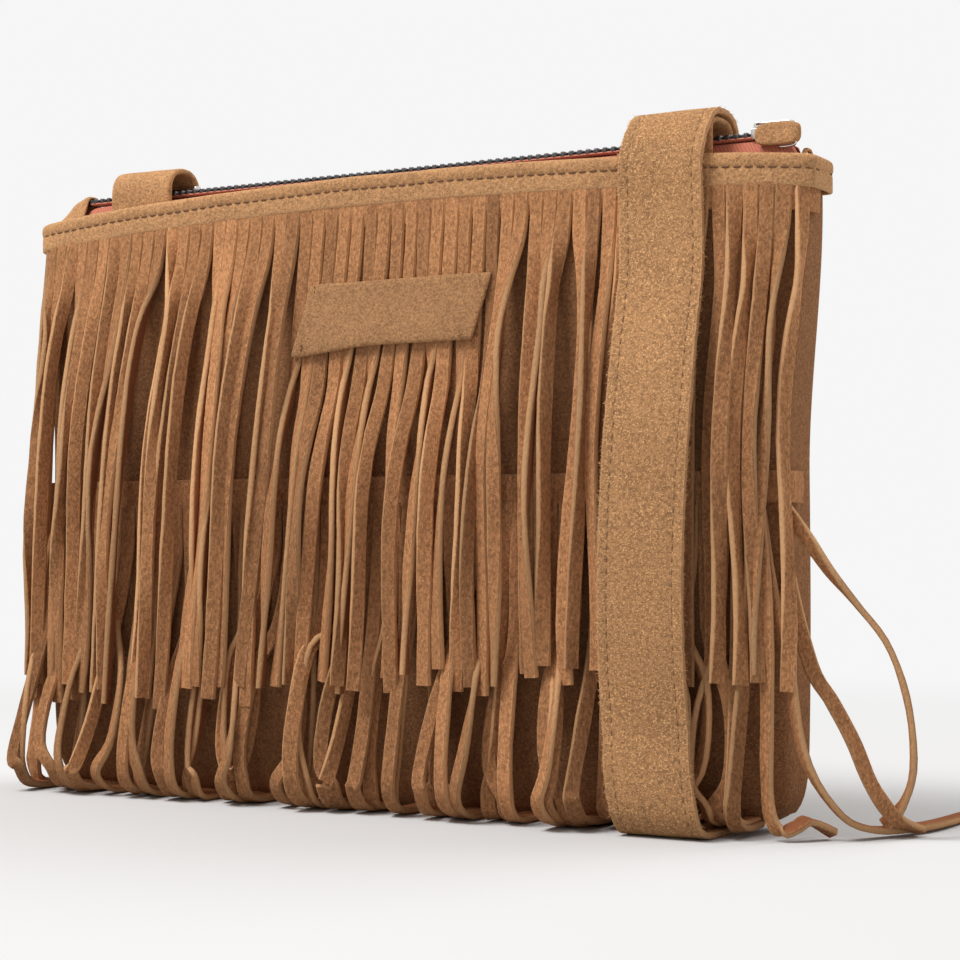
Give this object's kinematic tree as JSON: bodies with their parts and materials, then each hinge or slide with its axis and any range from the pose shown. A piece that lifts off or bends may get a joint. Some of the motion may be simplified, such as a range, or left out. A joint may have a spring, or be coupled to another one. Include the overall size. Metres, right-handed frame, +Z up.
{
  "type": "fringed suede bag",
  "caption": "Flat zip-top suede pouch with two rows of cut fringe on its front, a bare label patch, and a flat shoulder strap on two metal rings.",
  "frame": {"origin": "centre of the flat sole that the bag stands on", "axes": "+X along the zip to the bag's right end, -Y out of the fringed front, +Z up"},
  "size_m": [0.3398, 0.1167, 0.228],
  "materials": {
    "suede_body": "napped suede, brown",
    "suede_fringe": "napped suede strands, darker on the grain side",
    "suede_trim": "napped suede, tan",
    "zip_cloth": "woven terracotta tape",
    "zip_metal": "dark gunmetal",
    "bright_metal": "polished nickel"
  },
  "bodies": {
    "root": {"front_panel": "suede_body", "back_panel": "suede_body", "band_front": "suede_trim", "band_back": "suede_trim", "upper_fringe": "suede_fringe", "lower_fringe": "suede_fringe", "label_patch": "suede_trim", "zip_tape_front": "zip_cloth", "zip_tape_back": "zip_cloth", "zip_teeth_front": "zip_metal", "zip_teeth_back": "zip_metal", "zip_stop_left": "zip_metal", "zip_stop_front": "zip_metal", "zip_stop_back": "zip_metal", "zip_end_tab_left": "suede_trim", "zip_end_tab_right": "suede_trim", "ring_loop_left": "suede_trim", "ring_loop_right": "suede_trim", "shoulder_strap": "suede_trim"},
    "slider": {"zip_slider": "bright_metal"},
    "pull": {"zip_pull": "bright_metal", "pull_tab": "suede_trim"},
    "ring_left": {"ring_left": "bright_metal"},
    "ring_right": {"ring_right": "bright_metal"}
  },
  "joints": [
    {"name": "zip_slide", "type": "slide", "parent": "root", "child": "slider", "axis": [-1, 0, 0], "range_m": [0, 0.267]},
    {"name": "pull_swing", "type": "hinge", "parent": "slider", "child": "pull", "pos_m": [0.13375, 0, 0.22095], "axis": [0, 1, 0], "range_deg": [-140, 0]},
    {"name": "ring_left_swing", "type": "hinge", "parent": "root", "child": "ring_left", "pos_m": [-0.109, 0.0054, 0.2209], "axis": [1, 0, 0], "range_deg": [0, 110], "deforming": ["shoulder_strap"]},
    {"name": "ring_right_swing", "type": "hinge", "parent": "root", "child": "ring_right", "pos_m": [0.107, 0.0054, 0.2185], "axis": [1, 0, 0], "range_deg": [0, 110], "deforming": ["shoulder_strap"]}
  ]
}
